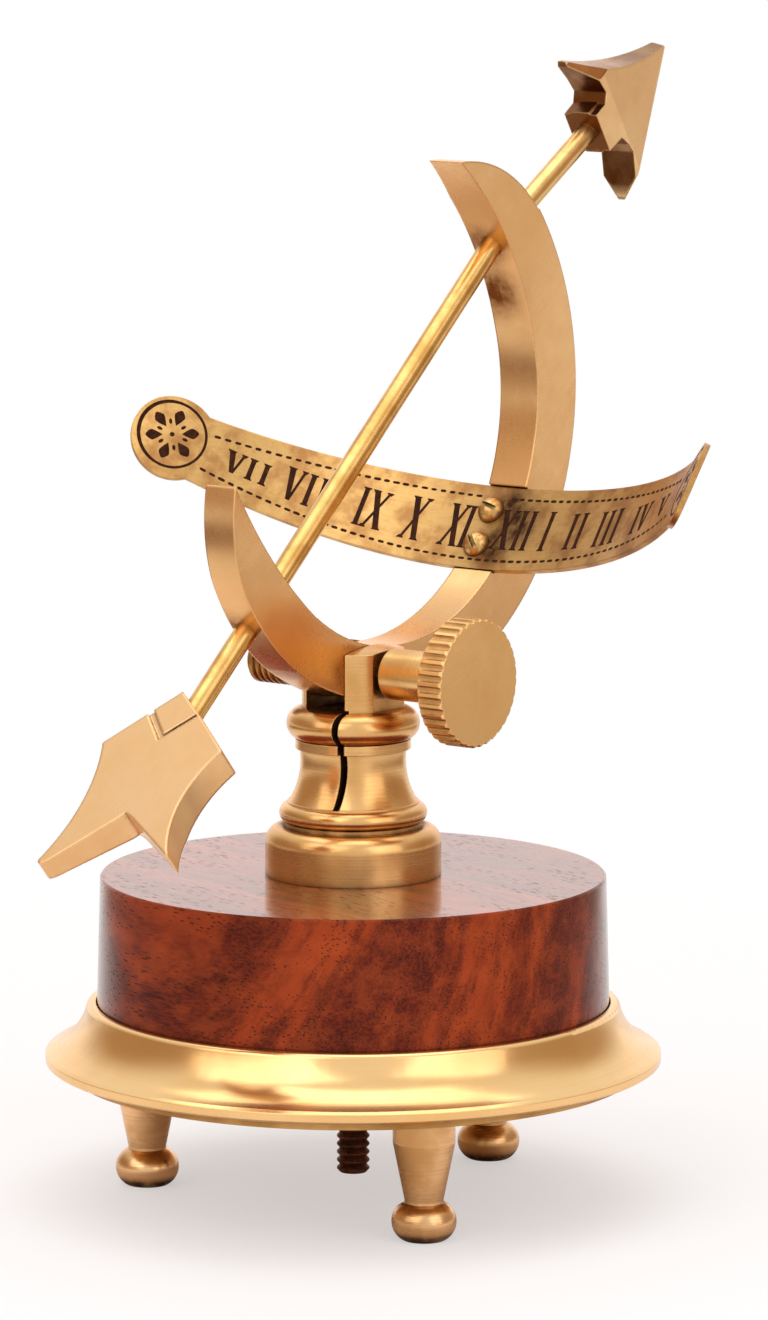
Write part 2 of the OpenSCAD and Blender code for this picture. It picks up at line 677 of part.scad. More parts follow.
// Hour band: thin curved strip with a round disc at each end
module band_shell(deg, w) {
    translate([0, 0, band_mid]) rotate([0, 90, 0]) rotate([0, 0, 180 - deg])
        translate([0, 0, -w / 2]) rotate_extrude(angle = 2 * deg, $fn = 360)
            translate([band_r, 0]) square([band_t, w]);
}

// a round punch that points out through the band at a given angle
module band_punch(deg, r) {
    translate([0, 0, band_mid]) rotate([deg, 0, 0]) translate([0, 0, band_r - 9]) cylinder(r = r, h = 18);
}

// outline of the strip without its discs, its two long sides are very flat curves
module band_outline() {
    intersection() {
        translate([band_up_r - band_up, 0]) circle(r = band_up_r, $fn = 720);
        translate([band_low - band_low_r, 0]) circle(r = band_low_r, $fn = 720);
        translate([-30, -band_end_y]) square([60, 2 * band_end_y]);
    }
}

module hour_band() {
    color(aged) band_frame() difference() {
        intersection() {
            band_shell(band_deg + 12, 40);
            union() {
                translate([0, 0, band_mid + 20]) linear_extrude(height = band_r) band_outline();
                for (s = [-1, 1]) translate([disc_drop, 0, 0]) band_punch(s * band_deg, disc_r);
            }
        }
        for (s = [-1, 1]) translate([bscrew_shift + s * bscrew_gap / 2, bscrew_side, seat_dist - 10])
            cylinder(r = bscrew_r, h = 12);
    }
}

// Band screws: two domed screws with a straight slot
module band_screws() {
    dome_r = (bscrew_head_r * bscrew_head_r + bscrew_head_h * bscrew_head_h) / (2 * bscrew_head_h);
    head_lift = band_r - sqrt(band_r * band_r - pow(bscrew_head_r + bscrew_side, 2)) + 0.01;
    color(aged) band_frame() for (s = [-1, 1])
        translate([bscrew_shift + s * bscrew_gap / 2, bscrew_side, seat_dist - band_t - head_lift]) difference() {
            union() {
                intersection() {
                    translate([0, 0, dome_r - bscrew_head_h]) sphere(r = dome_r);
                    translate([0, 0, -bscrew_head_h - 1]) cylinder(r = bscrew_head_r + 1, h = bscrew_head_h + 1);
                }
                cylinder(r = bscrew_r, h = bscrew_len + head_lift);
            }
            rotate([0, 0, s > 0 ? 141 : 101]) translate([-5, -bscrew_slot / 2, -bscrew_head_h - 1])
                cube([10, bscrew_slot, 2.1]);
        }
}

foot_left();
foot_front();
foot_right();
foot_studs();
bottom_plate();
base_dish();
wood_plinth();
centre_stud();
stud_washer();
stud_nut();
pedestal();
barrel_nut();
clamp_screw();
clamp_knob();
meridian_ring();
gnomon_rod();
head_stem();
arrow_head();
arrow_tail();
hour_band();
band_screws();
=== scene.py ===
import math
import random

import bpy
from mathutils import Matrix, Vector


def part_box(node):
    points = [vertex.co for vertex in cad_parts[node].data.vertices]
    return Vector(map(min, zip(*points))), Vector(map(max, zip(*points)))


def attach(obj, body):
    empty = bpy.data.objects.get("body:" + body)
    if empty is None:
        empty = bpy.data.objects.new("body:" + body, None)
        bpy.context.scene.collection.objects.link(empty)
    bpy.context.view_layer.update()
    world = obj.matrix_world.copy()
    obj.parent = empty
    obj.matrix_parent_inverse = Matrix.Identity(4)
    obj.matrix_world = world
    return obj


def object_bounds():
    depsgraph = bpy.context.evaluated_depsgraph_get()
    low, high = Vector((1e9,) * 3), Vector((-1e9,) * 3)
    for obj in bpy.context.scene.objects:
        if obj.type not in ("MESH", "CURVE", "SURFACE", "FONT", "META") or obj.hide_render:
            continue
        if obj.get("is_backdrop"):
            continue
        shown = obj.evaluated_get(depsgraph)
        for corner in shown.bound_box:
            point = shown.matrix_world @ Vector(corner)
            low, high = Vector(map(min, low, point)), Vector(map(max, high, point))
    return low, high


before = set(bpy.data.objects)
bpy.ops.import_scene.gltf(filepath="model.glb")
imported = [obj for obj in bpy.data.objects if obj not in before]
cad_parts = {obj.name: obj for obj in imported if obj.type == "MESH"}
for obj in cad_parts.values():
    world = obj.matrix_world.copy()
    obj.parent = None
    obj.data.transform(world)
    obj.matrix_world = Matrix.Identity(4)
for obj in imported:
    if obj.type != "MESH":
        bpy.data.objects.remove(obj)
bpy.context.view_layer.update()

# Feet
# Three small feet turned from brass rod: a bun, a neck, a cone and a plain top.
# The brass has gone dull and brown and still shows the rings of the lathe tool.


def shade(red, green, blue):
    """A colour as it looks on screen, 0 to 255, as the light values that a shader wants."""
    lit = [(c / 255 / 12.92) if c <= 10 else ((c / 255 + 0.055) / 1.055) ** 2.4
           for c in (red, green, blue)]
    return (*lit, 1.0)


def add(tree, kind, settings=None, inputs=None):
    """One shader node. An input takes a value or another node's output."""
    made = tree.nodes.new("ShaderNode" + kind)
    for key, value in (settings or {}).items():
        setattr(made, key, value)
    for key, value in (inputs or {}).items():
        if isinstance(value, bpy.types.NodeSocket):
            tree.links.new(value, made.inputs[key])
        else:
            made.inputs[key].default_value = value
    return made


def blank_finish(name):
    """A new material with its shader, and the place on the piece, in metres, to pattern it by."""
    finish = bpy.data.materials.new(name)
    finish.use_nodes = True
    tree = finish.node_tree
    tree.nodes.clear()
    out = add(tree, "OutputMaterial")
    shader = add(tree, "BsdfPrincipled")
    tree.links.new(shader.outputs["BSDF"], out.inputs["Surface"])
    place = add(tree, "TexCoord").outputs["Object"]
    return finish, tree, shader, place


def grain_axes(tree, place, stretch, turn):
    """Turns a pattern by the given degrees about X, Y and Z, and draws it out where stretch is small."""
    return add(tree, "Mapping", {"vector_type": "TEXTURE"},
               {"Vector": place, "Rotation": tuple(math.radians(degrees) for degrees in turn),
                "Scale": tuple(1 / share for share in stretch)}).outputs["Vector"]


def blotches(tree, place, scale, detail=3.0, rough=0.55, stretch=None, turn=(0, 0, 0)):
    """Soft random pattern, 0 to 1, that can be drawn out into lines."""
    if stretch:
        place = grain_axes(tree, place, stretch, turn)
    return add(tree, "TexNoise", {}, {"Vector": place, "Scale": scale, "Detail": detail,
                                      "Roughness": rough}).outputs["Fac"]


def spread(tree, value, low, high, to_low=0.0, to_high=1.0):
    """Stretches the part of a pattern between low and high over a new span."""
    made = add(tree, "MapRange", {"interpolation_type": "SMOOTHSTEP"},
               {"Value": value, "From Min": low, "From Max": high, "To Min": to_low, "To Max": to_high})
    return made.outputs["Result"]


def blend(tree, amount, first, second):
    """Colour between the first and the second, by an amount from 0 to 1.

    The Mix node has its colours at the inputs 6 and 7, and its values at 2 and 3.
    """
    return add(tree, "Mix", {"data_type": "RGBA"}, {0: amount, 6: first, 7: second}).outputs[2]


def blend_values(tree, amount, first, second):
    """Value between the first and the second, by an amount from 0 to 1."""
    return add(tree, "Mix", {"data_type": "FLOAT"}, {0: amount, 2: first, 3: second}).outputs[0]


def calculate(tree, operation, *values):
    """The result of a Math node."""
    return add(tree, "Math", {"operation": operation}, dict(enumerate(values))).outputs[0]


def product(tree, first, second):
    """Two amounts multiplied and kept from 0 to 1."""
    return add(tree, "Math", {"operation": "MULTIPLY", "use_clamp": True},
               {0: first, 1: second}).outputs[0]


def largest(tree, values):
    """The largest of two or more amounts."""
    found = values[0]
    for value in values[1:]:
        found = calculate(tree, "MAXIMUM", found, value)
    return found


def toward(tree, way, aim):
    """1 where a direction points the way of aim, 0 where it goes across it, -1 where it points back."""
    return add(tree, "VectorMath", {"operation": "DOT_PRODUCT"}, {0: way, 1: aim}).outputs["Value"]


def distance(tree, place, point):
    """Metres from each place to one point."""
    return add(tree, "VectorMath", {"operation": "DISTANCE"}, {0: place, 1: point}).outputs["Value"]


def near(tree, place, point, reach):
    """1 at a point, falling to 0 at reach."""
    return spread(tree, distance(tree, place, point), reach, 0.0, 0.0, 1.0)


def lathe_lines(scale, axis="Z", centre=(0.0, 0.0, 0.0), coarseness=0.0):
    """Marks for brass: rings around an axis, as a lathe tool or a polishing wheel leaves them."""
    def marks(tree, place):
        moved = add(tree, "VectorMath", {"operation": "SUBTRACT"}, {0: place, 1: centre}).outputs[0]
        split = add(tree, "SeparateXYZ", {}, {0: moved})
        across = [split.outputs[letter] for letter in "XYZ" if letter != axis]
        squares = [calculate(tree, "MULTIPLY", value, value) for value in across]
        radius = calculate(tree, "SQRT", calculate(tree, "ADD", *squares))
        rings = add(tree, "CombineXYZ", {}, {"X": radius, "Y": split.outputs[axis]}).outputs[0]
        fine = blotches(tree, rings, scale, 2.0, 0.6)
        coarse = blotches(tree, rings, scale * 0.22, 2.0, 0.5)
        return blend_values(tree, coarseness, fine, coarse)
    return marks


def corner_shade(tree, reach, low, high):
    """Mask for painted shade: 1 in corners with a low share of open air around them, 0 on faces with a
    high share.
    """
    open_air = add(tree, "AmbientOcclusion", {"samples": 6}, {"Distance": reach}).outputs["AO"]
    return spread(tree, open_air, high, low, 0.0, 1.0)


def edge_rub(tree, reach, low, high):
    """1 on outer edges with a low share of metal behind them, 0 on faces with a high share."""
    metal = add(tree, "AmbientOcclusion", {"samples": 6, "inside": True},
                {"Distance": reach}).outputs["AO"]
    return spread(tree, metal, high, low, 0.0, 1.0)


def rounded_edges(tree, radius):
    """Makes sharp edges catch the light as if they were rounded."""
    return add(tree, "Bevel", {"samples": 6}, {"Radius": radius}).outputs["Normal"]


def relief(tree, pattern, strength, depth, under=None, sunk=False):
    """Raises a face, or sinks it, where a pattern is high, on top of the relief that lies under it."""
    inputs = {"Height": pattern, "Strength": strength, "Distance": depth}
    if under is not None:
        inputs["Normal"] = under
    return add(tree, "Bump", {"invert": sunk}, inputs).outputs["Normal"]


def brass(name, bright, dull, stain_and_shade_colour, rough, marks, mark_depth, patch=(0.35, 0.7), cloud_scale=38.0,
          shade_reach=0.004, shade_levels=(0.35, 0.8), stained_at=(), rub=0.25, grit=0.25, edge=0.0003,
          line_tint=0.35, shaded_sides=()):
    """Solid brass, bright and dull in clouds, with tool lines, stain spots, painted shade in its corners
    and rubbed edges.

    marks draws the tool lines, line_tint deep in colour and mark_depth deep in metres.
    patch is the part of the clouds over which bright turns to dull, and grit the amount of dark specks.
    The reach and the levels after it set where corners get painted shade, and stained_at lists stained
    points with their reach.
    rub is the amount of shine on rubbed edges, and edge the radius that they seem to have.
    The last argument lists directions, how squarely faces have to look that way, and the amount of brown
    shade painted on the faces turned so.
    """
    finish, tree, shader, place = blank_finish(name)
    lines = marks(tree, place)
    clouds = blotches(tree, place, cloud_scale, 4.0, 0.6)
    specks = blotches(tree, place, 1600.0, 2.0, 0.7)
    colour = blend(tree, spread(tree, clouds, *patch), bright, dull)
    colour = blend(tree, spread(tree, lines, 0.42, 0.72, 0.0, line_tint), colour, dull)
    colour = blend(tree, spread(tree, specks, 0.66, 0.8, 0.0, grit), colour, stain_and_shade_colour)

    # Painted shade: faces turned the listed ways are painted brown, more where they look that way
    # squarely.
    side_shade_brown = shade(112, 66, 30)
    facing = add(tree, "TexCoord").outputs["Normal"]
    for way, squarely, amount in shaded_sides:
        turned_to_shade = spread(tree, toward(tree, facing, way), squarely, squarely + 0.25, 0.0, amount)
        uneven = spread(tree, clouds, 0.2, 0.7, 0.75, 1.1)
        colour = blend(tree, product(tree, turned_to_shade, uneven), colour, side_shade_brown)

    # Painted shade: corners with little open air around them are darkened towards the dark colour,
    # together with the real stain spots at the given points.
    shaded_corners = corner_shade(tree, shade_reach, *shade_levels)
    spots = [near(tree, place, point, reach) for point, reach in stained_at]
    ragged = spread(tree, blotches(tree, place, 300.0, 4.0, 0.6), 0.25, 0.75, 0.6, 1.25)
    stain_and_shade_mask = product(tree, largest(tree, [shaded_corners] + spots), ragged)
    colour = blend(tree, stain_and_shade_mask, colour, stain_and_shade_colour)

    rub_reach = 0.0007
    rubbed = product(tree, edge_rub(tree, rub_reach, 0.3, 0.75), rub)
    rubbed_bright = (*(min(1.0, light * 1.18) for light in bright[:3]), 1.0)
    colour = blend(tree, rubbed, colour, rubbed_bright)
    tree.links.new(colour, shader.inputs["Base Color"])

    stain_and_shade_rough = 0.5
    cloud_rough = spread(tree, clouds, 0.3, 0.75, rough * 0.86, rough * 1.18)
    line_rough = spread(tree, lines, 0.0, 1.0, -0.05, 0.06)
    clean_rough = calculate(tree, "ADD", cloud_rough, line_rough)
    tree.links.new(blend_values(tree, stain_and_shade_mask, clean_rough, stain_and_shade_rough), shader.inputs["Roughness"])

    tooled = relief(tree, lines, 0.55, mark_depth, rounded_edges(tree, edge))
    tree.links.new(relief(tree, specks, 0.2, mark_depth * 0.4, tooled), shader.inputs["Normal"])
    shader.inputs["Metallic"].default_value = 1.0
    return finish


def dress(node, finish):
    """Gives a CAD piece its finish in every slot."""
    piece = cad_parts[node]
    if not piece.material_slots:
        piece.data.materials.append(finish)
    for slot in piece.material_slots:
        slot.link = "OBJECT"
        slot.material = finish


foot_neck_height = 0.0103
for node in ("foot_left", "foot_front", "foot_right"):
    low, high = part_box(node)
    foot_axis = ((low + high) / 2)[:]
    foot_neck = (foot_axis[0], foot_axis[1], foot_neck_height)
    foot_brass = brass(
        "dull_turned_brass_" + node,
        bright=shade(244, 200, 148), dull=shade(196, 148, 92), stain_and_shade_colour=shade(66, 36, 16), rough=0.25,
        marks=lathe_lines(2600.0, "Z", foot_axis), mark_depth=0.00006,
        shade_reach=0.005, shade_levels=(0.3, 0.75), stained_at=[(foot_neck, 0.0062)])
    dress(node, foot_brass)

# Steel under the base
# Threaded stud, washer, nut and foot studs are plain steel that has rusted brown.
# The nut pulls plate, dish, wood disc and pedestal together, and only the free end
# of the stud with its sharp crests shows between the feet.

rust, rust_tree, rust_shader, rust_place = blank_finish("rusty_steel")
rust_cloud = blotches(rust_tree, rust_place, 260.0, 6.0, 0.7)
rust_grain = blotches(rust_tree, rust_place, 1900.0, 3.0, 0.7)
rust_colour = blend(rust_tree, spread(rust_tree, rust_cloud, 0.35, 0.7),
                    shade(104, 56, 34), shade(52, 26, 18))
rust_colour = blend(rust_tree, spread(rust_tree, rust_grain, 0.5, 0.75, 0.0, 0.6),
                    rust_colour, shade(150, 96, 70))
# Painted shade: corners with little open air around them are darkened nearly black.
rust_colour = blend(rust_tree, corner_shade(rust_tree, 0.002, 0.3, 0.8),
                    rust_colour, shade(30, 14, 10))
rust_tree.links.new(rust_colour, rust_shader.inputs["Base Color"])
rust_rough = spread(rust_tree, rust_cloud, 0.3, 0.7, 0.38, 0.62)
rust_tree.links.new(rust_rough, rust_shader.inputs["Roughness"])
rust_tree.links.new(relief(rust_tree, rust_grain, 0.6, 0.0001), rust_shader.inputs["Normal"])
rust_shader.inputs["Metallic"].default_value = 0.7
for node in ("foot_studs", "centre_stud", "stud_washer", "stud_nut"):
    dress(node, rust)

# Base plate and dish
# A thin spun disc closes the base from below; the dish above it is turned brass
# with a thin flange, a hollow flare and a round lip, and it is polished on the wheel.

plate_brass = brass(
    "spun_brass_plate",
    bright=shade(205, 160, 96), dull=shade(160, 114, 62), stain_and_shade_colour=shade(70, 42, 18), rough=0.3,
    marks=lathe_lines(1500.0), mark_depth=0.00004)
dress("bottom_plate", plate_brass)

dish_brass = brass(
    "polished_dish_brass",
    bright=shade(246, 203, 142), dull=shade(236, 188, 122), stain_and_shade_colour=shade(80, 44, 16), rough=0.19,
    marks=lathe_lines(1300.0, coarseness=0.5), mark_depth=0.000012, patch=(0.4, 0.75), cloud_scale=26.0,
    shade_reach=0.0016, shade_levels=(0.2, 0.6), rub=0.3, grit=0.1)
dress("base_dish", dish_brass)

# Wood disc
# One disc turned from a plank of red brown wood, its grain running from front to back.
# It is stained, sealed and rubbed to a half gloss, with the pores left open.

wood, wood_tree, wood_shader, wood_place = blank_finish("red_brown_wood")
warp = blotches(wood_tree, wood_place, 24.0, 3.0, 0.5, (1.0, 0.35, 1.0))
warp_both = add(wood_tree, "CombineXYZ", {}, {"X": warp, "Y": 0.0, "Z": warp}).outputs[0]
wavy_place = add(wood_tree, "VectorMath", {"operation": "MULTIPLY_ADD"},
                 {0: warp_both, 1: (0.022, 0.0, 0.016), 2: wood_place}).outputs[0]
lie = (0, 20, -15)
layers = blotches(wood_tree, wavy_place, 95.0, 3.0, 0.55, (1.0, 0.08, 0.16), lie)
streaks = blotches(wood_tree, wavy_place, 330.0, 4.0, 0.65, (1.0, 0.06, 0.22), lie)
ripple = blotches(wood_tree, wood_place, 170.0, 3.0, 0.6, (1.0, 0.5, 1.0), lie)
fibre = blotches(wood_tree, wood_place, 1500.0, 3.0, 0.7, (1.0, 0.09, 1.0), lie)
pore_place = grain_axes(wood_tree, wood_place, (1.0, 0.13, 1.0), lie)
pores = add(wood_tree, "TexVoronoi", {"feature": "F1"},
            {"Vector": pore_place, "Scale": 1400.0}).outputs["Distance"]
pore_zone = blotches(wood_tree, wood_place, 130.0, 3.0, 0.6, (1.0, 0.25, 1.0), lie)
open_pore = product(wood_tree, spread(wood_tree, pores, 0.42, 0.10),
                    spread(wood_tree, pore_zone, 0.38, 0.56, 0.25, 1.0))

wood_colour = blend(wood_tree, spread(wood_tree, layers, 0.38, 0.64),
                    shade(78, 20, 8), shade(148, 56, 20))
for pattern, low, high, amount, tone in (
        (streaks, 0.42, 0.66, 0.70, shade(56, 12, 5)),
        (ripple, 0.42, 0.66, 0.30, shade(172, 74, 30)),
        (fibre, 0.35, 0.70, 0.32, shade(158, 64, 24)),
        (open_pore, 0.15, 0.80, 0.75, shade(50, 14, 8))):
    wood_colour = blend(wood_tree, spread(wood_tree, pattern, low, high, 0.0, amount), wood_colour, tone)
# Painted shade: the wood is darkened in corners with little open air around them, such as where it meets
# the dish and the pedestal.
wood_colour = blend(wood_tree, corner_shade(wood_tree, 0.004, 0.25, 0.75), wood_colour, shade(40, 14, 8))
wood_tree.links.new(wood_colour, wood_shader.inputs["Base Color"])

wood_rough = largest(wood_tree, [spread(wood_tree, fibre, 0.3, 0.7, 0.34, 0.46),
                                 spread(wood_tree, open_pore, 0.2, 0.9, 0.0, 0.7)])
wood_tree.links.new(wood_rough, wood_shader.inputs["Roughness"])
pitted = relief(wood_tree, open_pore, 0.6, 0.00014, rounded_edges(wood_tree, 0.0006), sunk=True)
wood_tree.links.new(relief(wood_tree, fibre, 0.25, 0.00005, pitted), wood_shader.inputs["Normal"])
wood_shader.inputs["Specular IOR Level"].default_value = 0.12

skim = add(wood_tree, "LayerWeight", {}, {"Blend": 0.5}).outputs["Facing"]
shut_pore = spread(wood_tree, open_pore, 0.45, 0.9, 1.0, 0.3)
wood_tree.links.new(product(wood_tree, spread(wood_tree, skim, 0.5, 0.85, 0.0, 0.95), shut_pore),
                    wood_shader.inputs["Coat Weight"])
wood_shader.inputs["Coat Roughness"].default_value = 0.10
dress("wood_plinth", wood)

# Pedestal, barrel nut and clamp screw
# The pedestal is turned from one bar of brass, then milled and sawn into two jaws.
# The ribbed barrel nut and the turned collar of the clamp screw run through the jaws.

pedestal_brass = brass(
    "turned_pedestal_brass",
    bright=shade(240, 192, 130), dull=shade(212, 160, 96), stain_and_shade_colour=shade(84, 42, 16), rough=0.25,
    marks=lathe_lines(1900.0), mark_depth=0.00003,
    shade_reach=0.0032, shade_levels=(0.3, 0.78), rub=0.35, grit=0.12, line_tint=0.3)
dress("pedestal", pedestal_brass)

clamp_axis = (0.0, 0.0, 0.1295)
collar_brass = brass(
    "turned_collar_brass",
    bright=shade(248, 208, 142), dull=shade(222, 172, 106), stain_and_shade_colour=shade(70, 36, 14), rough=0.27,
    marks=lathe_lines(2400.0, "Y", clamp_axis), mark_depth=0.00007,
    shade_reach=0.0022, shade_levels=(0.25, 0.7), grit=0.15)
dress("clamp_screw", collar_brass)

barrel_brass = brass(
    "dull_barrel_brass",
    bright=shade(186, 132, 72), dull=shade(140, 90, 44), stain_and_shade_colour=shade(52, 28, 12), rough=0.34,
    marks=lathe_lines(1900.0, "Y", clamp_axis), mark_depth=0.00004,
    shade_reach=0.0022, shade_levels=(0.35, 0.9))
dress("barrel_nut", barrel_brass)

# Knob
# A thick brass disc on the end of the clamp screw, faced off flat and grooved all around.
# The grooves are darkened with painted shade, the face has a fine satin scratch.


def scratches(scale, detail, rough, stretch=None, turn=(0, 0, 0)):
    """Marks for brass: a random pattern, drawn out into scratches where a stretch is given."""
    return lambda tree, place: blotches(tree, place, scale, detail, rough, stretch, turn)


knob_brass = brass(
    "satin_knob_brass",
    bright=shade(246, 198, 132), dull=shade(236, 186, 118), stain_and_shade_colour=shade(84, 44, 14), rough=0.34,
    marks=scratches(900.0, 3.0, 0.6, (0.2, 1.0, 1.6), (0, -20, 0)), mark_depth=0.00003,
    cloud_scale=60.0, shade_reach=0.003, shade_levels=(0.55, 0.93), grit=0.06)
dress("clamp_knob", knob_brass)

# Crescent ring, arrow head and arrow tail
# Three castings in the same yellow brass, filed flat and rubbed with fine emery.
# Dark stain is left where the rods enter them; their hollows and corners are darkened with painted
# shade.


def emery(turn):
    """Marks for brass: faint scratches that run one way, broken up by a softer pattern."""
    def marks(tree, place):
        fine = blotches(tree, place, 700.0, 4.0, 0.65, (0.12, 1.0, 1.0), turn)
        soft = blotches(tree, place, 170.0, 3.0, 0.5)
        return blend_values(tree, 0.5, fine, soft)
    return marks


rod_at_low_horn = (-0.0395, 0.0015, 0.1450)
rod_at_high_horn = (0.0538, 0.0025, 0.2270)
below_high_horn = (0.0615, 0.0030, 0.2165)
ring_brass = brass(
    "cast_ring_brass",
    bright=shade(238, 190, 132), dull=shade(228, 176, 116), stain_and_shade_colour=shade(128, 72, 30), rough=0.27,
    marks=emery((0, -42, 0)), mark_depth=0.000003, cloud_scale=22.0,
    shade_reach=0.004, shade_levels=(0.2, 0.62),
    stained_at=[(rod_at_low_horn, 0.0090), (rod_at_high_horn, 0.0095), (below_high_horn, 0.0110)],
    rub=0.45, grit=0.03, edge=0.0006)
dress("meridian_ring", ring_brass)

to_the_tail = (-1, 0, 0)
upwards = (0, 0, 1)
# The head's faces turned to the tail and upwards get painted brown shade.
head_brass = brass(
    "cast_arrow_head_brass",
    bright=shade(248, 206, 152), dull=shade(238, 192, 134), stain_and_shade_colour=shade(104, 54, 22), rough=0.30,
    marks=emery((0, -32, 0)), mark_depth=0.000012, cloud_scale=60.0,
    shade_reach=0.0045, shade_levels=(0.3, 0.8), rub=0.5, grit=0.05, edge=0.0007,
    shaded_sides=[(to_the_tail, 0.2, 1.0), (upwards, 0.5, 0.8)])
dress("arrow_head", head_brass)

tail_brass = brass(
    "cast_arrow_tail_brass",
    bright=shade(236, 192, 140), dull=shade(224, 176, 120), stain_and_shade_colour=shade(92, 50, 22), rough=0.31,
    marks=emery((0, -42, 12)), mark_depth=0.000009, cloud_scale=30.0,
    shade_reach=0.0016, shade_levels=(0.3, 0.8), rub=0.5, grit=0.03, edge=0.0009)
dress("arrow_tail", tail_brass)

# Gnomon rod and stem
# Round drawn brass rod, held in the two horns of the ring, with a short stem beyond it.
# It keeps long drawing lines and a few brown streaks along its length.


def drawn(slope):
    """Marks for brass: long lines along a rod that climbs by a slope in degrees."""
    return scratches(1300.0, 3.0, 0.6, (0.035, 1.0, 1.0), (0, -slope, 0))


rod_brass = brass(
    "drawn_rod_brass",
    bright=shade(232, 188, 116), dull=shade(204, 154, 84), stain_and_shade_colour=shade(70, 40, 16), rough=0.24,
    marks=drawn(41.3), mark_depth=0.00001, patch=(0.42, 0.68), cloud_scale=90.0,
    shade_reach=0.003, shade_levels=(0.2, 0.6), grit=0.03,
    stained_at=[(rod_at_low_horn, 0.005), (rod_at_high_horn, 0.005)])
dress("gnomon_rod", rod_brass)

stem_at_head = (0.0942, 0.0, 0.2533)
stem_brass = brass(
    "drawn_stem_brass",
    bright=shade(242, 198, 130), dull=shade(212, 164, 98), stain_and_shade_colour=shade(60, 34, 14), rough=0.25,
    marks=drawn(32.2), mark_depth=0.00001, patch=(0.42, 0.68), cloud_scale=90.0,
    shade_reach=0.003, shade_levels=(0.2, 0.6), grit=0.1, stained_at=[(stem_at_head, 0.005)])
dress("head_stem", stem_brass)

# Hour band
# Thin brass strip, bent to a bow, with a disc at each end, held on the ring by two domed screws.
# It is antiqued: brown in patches, nearly black round the screws, and scratched along its length.

round_the_screws = [((0.0590, -0.0030, 0.1630), 0.0105),
                    ((0.0556, -0.0070, 0.1587), 0.0120),
                    ((0.0520, -0.0035, 0.1542), 0.0100)]
band_brass = brass(
    "antiqued_band_brass",
    bright=shade(212, 168, 104), dull=shade(172, 124, 74), stain_and_shade_colour=shade(64, 36, 20), rough=0.34,
    marks=scratches(1100.0, 4.0, 0.7, (1.0, 0.06, 1.0)), mark_depth=0.00005,
    patch=(0.40, 0.66), cloud_scale=120.0, shade_reach=0.0026, shade_levels=(0.4, 0.95), grit=0.45,
    stained_at=round_the_screws)
dress("hour_band", band_brass)

screw_brass = brass(
    "old_screw_brass",
    bright=shade(222, 182, 116), dull=shade(180, 130, 76), stain_and_shade_colour=shade(48, 26, 14), rough=0.3,
    marks=scratches(1500.0, 3.0, 0.6), mark_depth=0.00004,
    shade_reach=0.0016, shade_levels=(0.45, 0.95), edge=0.0001)
dress("band_screws", screw_brass)

# Engraving on the hour band
# Hour numerals, two stitched border lines and a rosette on each disc are cut into the
# inner face of the strip and filled with dark brown wax. Here they are thin wax inlays.

band_slope = math.radians(38.4)
band_centre = Vector((-0.02969, 0.0, 0.22500))
band_down = Vector((-math.sin(band_slope), 0.0, -math.cos(band_slope)))
band_out = Vector((math.cos(band_slope), 0.0, -math.sin(band_slope)))
band_front = Vector((0.0, -1.0, 0.0))
band_radius = 0.108
mm = 0.001


def on_band(along, down, lift):
    """A point on the inner face of the strip: millimetres along it, down its width and proud of it."""
    turn = along * mm / band_radius
    reach = band_radius - lift * mm
    bow = (band_out * math.cos(turn) + band_front * math.sin(turn)) * reach
    return band_centre + band_down * (down * mm) + bow


wax_points, wax_faces = [], []
wax_sink = -0.06
wax_lift = 0.03
thin_stroke_lift = 0.034
serif_lift = 0.038


def wax_strip(one_side, other_side, lift=wax_lift):
    """A closed inlay between two rows of points."""
    count = len(one_side)
    one_top = len(wax_points)
    other_top = one_top + count
    one_under = other_top + count
    other_under = one_under + count
    for level in (lift, wax_sink):
        for side in (one_side, other_side):
            wax_points.extend(on_band(along, down, level) for along, down in side)
    for k in range(count - 1):
        wax_faces.append((one_top + k, one_top + k + 1, other_top + k + 1, other_top + k))
        wax_faces.append((one_under + k, other_under + k, other_under + k + 1, one_under + k + 1))
        wax_faces.append((one_top + k, one_under + k, one_under + k + 1, one_top + k + 1))
        wax_faces.append((other_top + k, other_top + k + 1, other_under + k + 1, other_under + k))
    last = count - 1
    wax_faces.append((one_top, other_top, other_under, one_under))
    wax_faces.append((one_top + last, one_under + last, other_under + last, other_top + last))


def stroke(start, end, wide_start, wide_end, lift=wax_lift, bow=0.0):
    """One cut of the graver from start to end, with its own width at each end and a slimmer middle."""
    steps = 6
    left_side, right_side = [], []
    for k in range(steps + 1):
        share = k / steps
        along = start[0] + (end[0] - start[0]) * share
        down = start[1] + (end[1] - start[1]) * share
        wide = (wide_start + (wide_end - wide_start) * share) * (1 - bow * math.sin(math.pi * share))
        left_side.append((along - wide / 2, down))
        right_side.append((along + wide / 2, down))
    wax_strip(left_side, right_side, lift)


def serif(along, down, wide, at_top):
    """A short cross bar at the top or the foot of a stroke, with a small bracket towards the stroke."""
    height = 0.85 if at_top else -0.85
    bracket = ((0.0, 1.0), (0.35, 0.94), (0.6, 0.66), (1.0, 0.5))
    left_side = [(along - wide * width / 2, down + height * rise) for rise, width in bracket]
    right_side = [(along + wide * width / 2, down + height * rise) for rise, width in bracket]
    wax_strip(left_side, right_side, serif_lift)


def letter_i(along, top, foot):
    """One upright stroke, a little slimmer in its middle, that leans a little."""
    lean = 0.05 * (foot - top) / 2
    wide = 1.35
    stroke((along - lean, top), (along + lean, foot), wide, wide, bow=0.1)
    serif(along - lean, top, 2.2, True)
    serif(along + lean, foot, 2.2, False)


